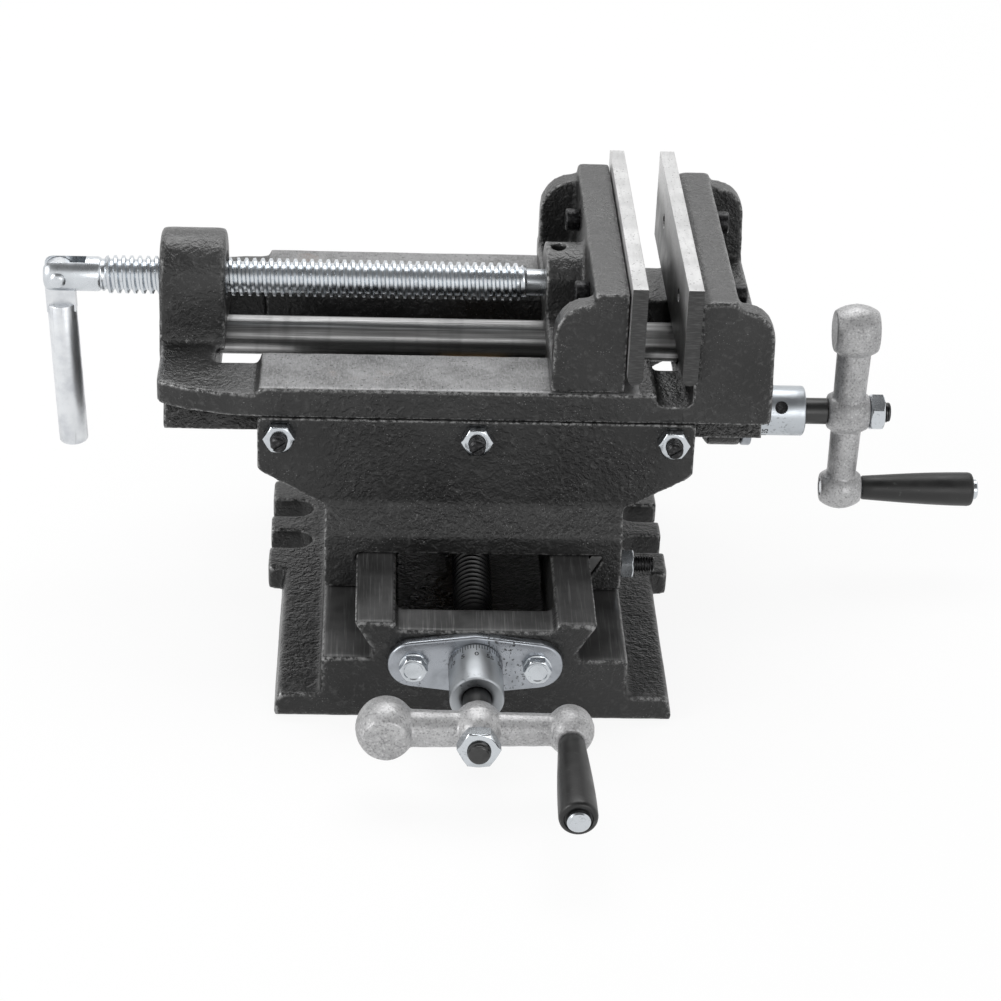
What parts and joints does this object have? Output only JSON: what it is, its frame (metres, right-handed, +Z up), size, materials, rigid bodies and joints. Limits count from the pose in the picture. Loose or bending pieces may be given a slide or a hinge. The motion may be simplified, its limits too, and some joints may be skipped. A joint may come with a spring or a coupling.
{
  "type": "cross slide vise",
  "caption": "Cross slide machine vise: dovetailed base and saddle, two lead screws with dial collars and ball cranks, sliding jaw on rails with guide rod, clamp spindle and folding handle.",
  "frame": {"origin": "centre of the base casting's bottom face, on the machine table", "axes": "+Z up; -Y towards the front crank; +X towards the side crank, along the spindle from its handle to the fixed jaw"},
  "size_m": [0.3553, 0.3375, 0.1458],
  "materials": {
    "base_casting": "black paint over sand casting, machined ways",
    "saddle_casting": "black paint over sand casting",
    "body_casting": "black paint over sand casting, machined rails",
    "jaw_casting": "black paint over sand casting",
    "jaw_plate_steel": "ground steel",
    "gib_steel": "ground steel",
    "rod_steel": "bright drawn steel",
    "leadscrew_steel": "oiled black steel",
    "zinc_plate": "bright zinc plate on steel",
    "black_screw": "black oxide steel",
    "cast_aluminium": "as cast aluminium",
    "grip_plastic": "satin black plastic",
    "nut_bronze": "bronze"
  },
  "bodies": {
    "base": {"base": "base_casting", "front_bearing_flange": "zinc_plate", "front_flange_bolt_left": "zinc_plate", "front_flange_bolt_right": "zinc_plate"},
    "front_screw": {"front_leadscrew": "leadscrew_steel", "front_dial_collar": "zinc_plate", "front_collar_setscrew": "black_screw", "front_crank": "cast_aluminium", "front_crank_nut": "zinc_plate", "front_grip_pin": "zinc_plate"},
    "front_grip": {"front_grip": "grip_plastic"},
    "saddle": {"saddle": "saddle_casting", "base_gib": "gib_steel", "table_gib": "gib_steel", "front_lead_nut": "nut_bronze", "side_lead_nut": "nut_bronze", "base_gib_screw_front": "black_screw", "base_gib_screw_middle": "black_screw", "base_gib_screw_rear": "black_screw", "base_gib_nut_front": "zinc_plate", "base_gib_nut_middle": "zinc_plate", "base_gib_nut_rear": "zinc_plate", "table_gib_screw_left": "black_screw", "table_gib_screw_middle": "black_screw", "table_gib_screw_right": "black_screw", "table_gib_nut_left": "zinc_plate", "table_gib_nut_middle": "zinc_plate", "table_gib_nut_right": "zinc_plate"},
    "vise_body": {"vise_body": "body_casting", "fixed_jaw_plate": "jaw_plate_steel", "fixed_plate_screw_front": "black_screw", "fixed_plate_screw_rear": "black_screw", "guide_rod": "rod_steel", "side_bearing_flange": "zinc_plate", "side_flange_screw_front": "zinc_plate", "side_flange_screw_rear": "zinc_plate"},
    "side_screw": {"side_leadscrew": "leadscrew_steel", "side_dial_collar": "zinc_plate", "side_collar_setscrew": "black_screw", "side_crank": "cast_aluminium", "side_crank_nut": "zinc_plate", "side_grip_pin": "zinc_plate"},
    "side_grip": {"side_grip": "grip_plastic"},
    "moving_jaw": {"moving_jaw": "jaw_casting", "moving_jaw_plate": "jaw_plate_steel", "moving_plate_screw_front": "black_screw", "moving_plate_screw_rear": "black_screw", "spindle_retaining_screw": "black_screw"},
    "spindle": {"clamp_spindle": "zinc_plate", "handle_pin": "zinc_plate"},
    "handle": {"spindle_handle": "zinc_plate"}
  },
  "joints": [
    {"name": "saddle_slide", "type": "slide", "parent": "base", "child": "saddle", "axis": [0, 1, 0], "range_m": [-0.045, 0.06]},
    {"name": "front_screw_turn", "type": "hinge", "parent": "base", "child": "front_screw", "pos_m": [0, -0.1637, 0.0248], "axis": [0, 1, 0], "range_deg": [-7201, 5401]},
    {"name": "vise_body_slide", "type": "slide", "parent": "saddle", "child": "vise_body", "axis": [1, 0, 0], "range_m": [-0.009, 0.066]},
    {"name": "side_screw_turn", "type": "hinge", "parent": "vise_body", "child": "side_screw", "pos_m": [0.1433, -0.0085, 0.067], "axis": [1, 0, 0], "range_deg": [-1081, 7921]},
    {"name": "moving_jaw_slide", "type": "slide", "parent": "vise_body", "child": "moving_jaw", "axis": [1, 0, 0], "range_m": [-0.108, 0.0135]},
    {"name": "spindle_turn", "type": "hinge", "parent": "moving_jaw", "child": "spindle", "pos_m": [0.0186, -0.0085, 0.1186], "axis": [1, 0, 0], "range_deg": [-12961, 1621]},
    {"name": "handle_fold", "type": "hinge", "parent": "spindle", "child": "handle", "pos_m": [-0.153, -0.0085, 0.1186], "axis": [0, 1, 0], "range_deg": [0, 180]},
    {"name": "front_grip_spin", "type": "hinge", "parent": "front_screw", "child": "front_grip", "pos_m": [0.0312, -0.1637, 0.0248], "axis": [0, 1, 0], "continuous": true},
    {"name": "side_grip_spin", "type": "hinge", "parent": "side_screw", "child": "side_grip", "pos_m": [0.1433, -0.0085, 0.034], "axis": [1, 0, 0], "continuous": true}
  ],
  "couplings": [
    {"joint": "front_screw_turn", "follows": "saddle_slide", "rad_per_m": -2094.4},
    {"joint": "side_screw_turn", "follows": "vise_body_slide", "rad_per_m": 2094.4},
    {"joint": "spindle_turn", "follows": "moving_jaw_slide", "rad_per_m": 2094.4}
  ]
}
